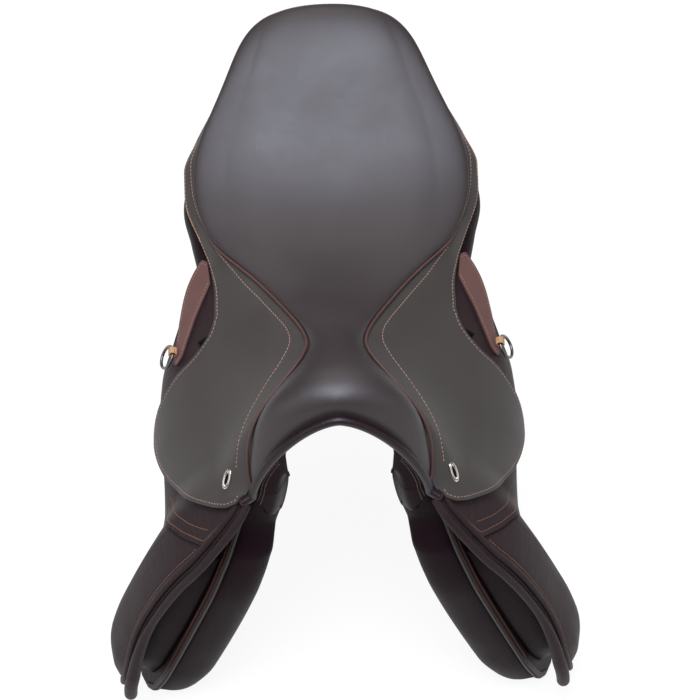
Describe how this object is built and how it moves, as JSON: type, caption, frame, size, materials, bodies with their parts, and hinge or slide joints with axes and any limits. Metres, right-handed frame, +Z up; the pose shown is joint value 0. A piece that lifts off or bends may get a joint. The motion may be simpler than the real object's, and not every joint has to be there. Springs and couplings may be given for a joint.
{
  "type": "jumping saddle",
  "caption": "Close contact jumping saddle with forward flaps, rolled front edges, hinged skirts over the stirrup bars, knee blocks, girth straps and split panels.",
  "frame": {"origin": "on the centre plane, at the height where the panels bear on the horse's back, midway along the channel between the panels", "axes": "+Z up, -Y towards the pommel and the horse's head, +Y towards the cantle, +X the horse's left"},
  "size_m": [0.472, 0.5274, 0.4959],
  "materials": {
    "seat_leather": "satin, fine grain",
    "skirt_leather": "satin, fine grain",
    "flap_leather": "satin, fine grain",
    "red_leather": "satin, smooth",
    "panel_leather": "soft sheen",
    "natural_leather": "matt, uncoloured",
    "foam": "matt, open cell",
    "webbing": "woven",
    "wood": "sealed laminate",
    "steel": "brushed",
    "nickel": "polished",
    "dark_metal": "dark satin"
  },
  "bodies": {
    "saddle": {"seat_cover": "seat_leather", "seat_foam": "foam", "seat_webbing": "webbing", "tree": "wood", "head_plate": "steel", "gullet_facing": "panel_leather", "arch_roll": "panel_leather", "cantle_facing": "panel_leather", "left_skirt_top": "skirt_leather", "left_welt": "red_leather", "left_stirrup_bar": "steel", "left_sweat_flap": "flap_leather", "left_sweat_binding": "red_leather", "left_knee_block": "panel_leather", "left_thigh_block": "panel_leather", "left_panel_forepart": "panel_leather", "left_panel": "panel_leather", "left_front_facing": "panel_leather", "right_skirt_top": "skirt_leather", "right_welt": "red_leather", "right_stirrup_bar": "steel", "right_sweat_flap": "flap_leather", "right_sweat_binding": "red_leather", "right_knee_block": "panel_leather", "right_thigh_block": "panel_leather", "right_panel_forepart": "panel_leather", "right_panel": "panel_leather", "right_front_facing": "panel_leather"},
    "left_flap_body": {"left_flap": "flap_leather", "left_edge_roll": "flap_leather", "left_flap_ridge": "flap_leather", "left_knee_patch": "flap_leather", "left_keeper_strap": "red_leather", "left_ring_loop": "natural_leather"},
    "left_skirt_body": {"left_skirt": "skirt_leather", "left_skirt_eyelet": "nickel"},
    "left_ring_body": {"left_ring": "dark_metal"},
    "left_catch_body": {"left_bar_catch": "steel"},
    "left_girth_body": {"left_girth_strap_front": "red_leather", "left_girth_strap_middle": "red_leather", "left_girth_strap_rear": "red_leather"},
    "right_flap_body": {"right_flap": "flap_leather", "right_edge_roll": "flap_leather", "right_flap_ridge": "flap_leather", "right_knee_patch": "flap_leather", "right_keeper_strap": "red_leather", "right_ring_loop": "natural_leather"},
    "right_skirt_body": {"right_skirt": "skirt_leather", "right_skirt_eyelet": "nickel"},
    "right_ring_body": {"right_ring": "dark_metal"},
    "right_catch_body": {"right_bar_catch": "steel"},
    "right_girth_body": {"right_girth_strap_front": "red_leather", "right_girth_strap_middle": "red_leather", "right_girth_strap_rear": "red_leather"}
  },
  "joints": [
    {"name": "left_flap_lift", "type": "hinge", "parent": "saddle", "child": "left_flap_body", "pos_m": [0.0887, -0.218, 0.0404], "axis": [-0.1104, -0.9853, -0.1307], "range_deg": [0, 42]},
    {"name": "left_skirt_lift", "type": "hinge", "parent": "left_flap_body", "child": "left_skirt_body", "pos_m": [0.0887, -0.218, 0.0404], "axis": [-0.1104, -0.9853, -0.1307], "range_deg": [0, 38]},
    {"name": "left_ring_swing", "type": "hinge", "parent": "left_flap_body", "child": "left_ring_body", "pos_m": [0.15677, -0.04038, 0.02109], "axis": [-0.0257, -0.9963, -0.0822], "range_deg": [0, 100]},
    {"name": "left_catch_swing", "type": "hinge", "parent": "saddle", "child": "left_catch_body", "pos_m": [0.1147, -0.06302, 0.04115], "axis": [0.7239, -0.1698, 0.6686], "range_deg": [0, 80]},
    {"name": "left_girth_swing", "type": "hinge", "parent": "saddle", "child": "left_girth_body", "pos_m": [0.11403, -0.115, 0.02423], "axis": [0.9606, -0.1401, 0.2401], "range_deg": [-3, 3], "stiffness_Nm_per_rad": 0.5},
    {"name": "right_flap_lift", "type": "hinge", "parent": "saddle", "child": "right_flap_body", "pos_m": [-0.0887, -0.218, 0.0404], "axis": [-0.1104, 0.9853, 0.1307], "range_deg": [0, 42]},
    {"name": "right_skirt_lift", "type": "hinge", "parent": "right_flap_body", "child": "right_skirt_body", "pos_m": [-0.0887, -0.218, 0.0404], "axis": [-0.1104, 0.9853, 0.1307], "range_deg": [0, 38]},
    {"name": "right_ring_swing", "type": "hinge", "parent": "right_flap_body", "child": "right_ring_body", "pos_m": [-0.15677, -0.04038, 0.02109], "axis": [-0.0257, 0.9963, 0.0822], "range_deg": [0, 100]},
    {"name": "right_catch_swing", "type": "hinge", "parent": "saddle", "child": "right_catch_body", "pos_m": [-0.1147, -0.06302, 0.04115], "axis": [0.7239, 0.1698, -0.6686], "range_deg": [0, 80]},
    {"name": "right_girth_swing", "type": "hinge", "parent": "saddle", "child": "right_girth_body", "pos_m": [-0.11403, -0.115, 0.02423], "axis": [0.9606, 0.1401, -0.2401], "range_deg": [-3, 3], "stiffness_Nm_per_rad": 0.5}
  ]
}
